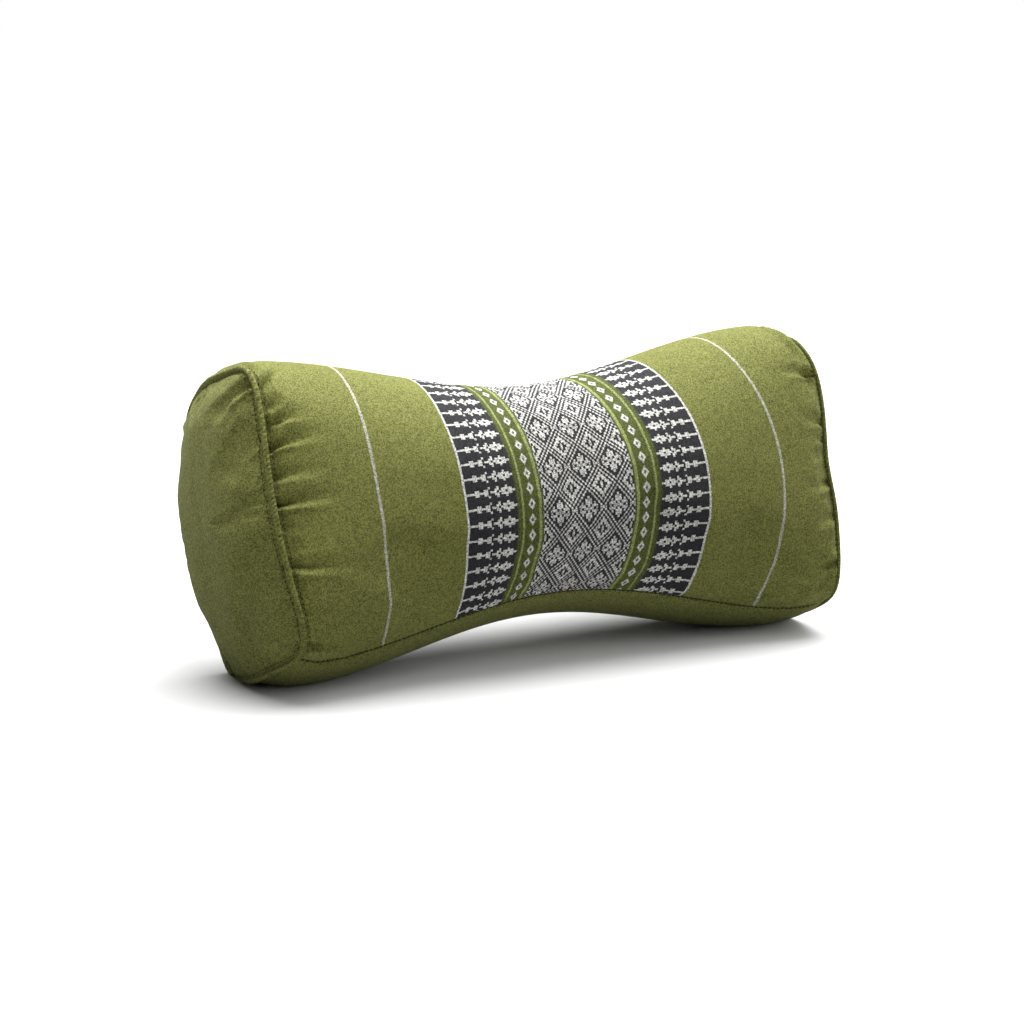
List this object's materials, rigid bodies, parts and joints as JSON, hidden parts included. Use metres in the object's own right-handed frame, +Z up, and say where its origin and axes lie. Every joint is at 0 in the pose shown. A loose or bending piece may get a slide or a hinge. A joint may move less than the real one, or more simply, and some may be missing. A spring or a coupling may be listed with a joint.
{
  "type": "bone-shaped neck pillow",
  "caption": "Stuffed bone-shaped neck pillow with a waisted body, crowned end panels and a woven band of pattern round its middle.",
  "frame": {"origin": "on the surface that the pillow lies on, under the middle of its box", "axes": "+X along the pillow, +Z up, front towards -Y"},
  "size_m": [0.3398, 0.1284, 0.1519],
  "materials": {
    "patterned_cloth": "matt green canvas woven with off-white, charcoal and pale green bands",
    "plain_cloth": "matt plain green canvas, topstitched along the end seams"
  },
  "bodies": {
    "root": {"patterned_panel": "patterned_cloth", "base_panel": "plain_cloth", "end_panel_left": "plain_cloth", "end_panel_right": "plain_cloth"}
  },
  "joints": []
}
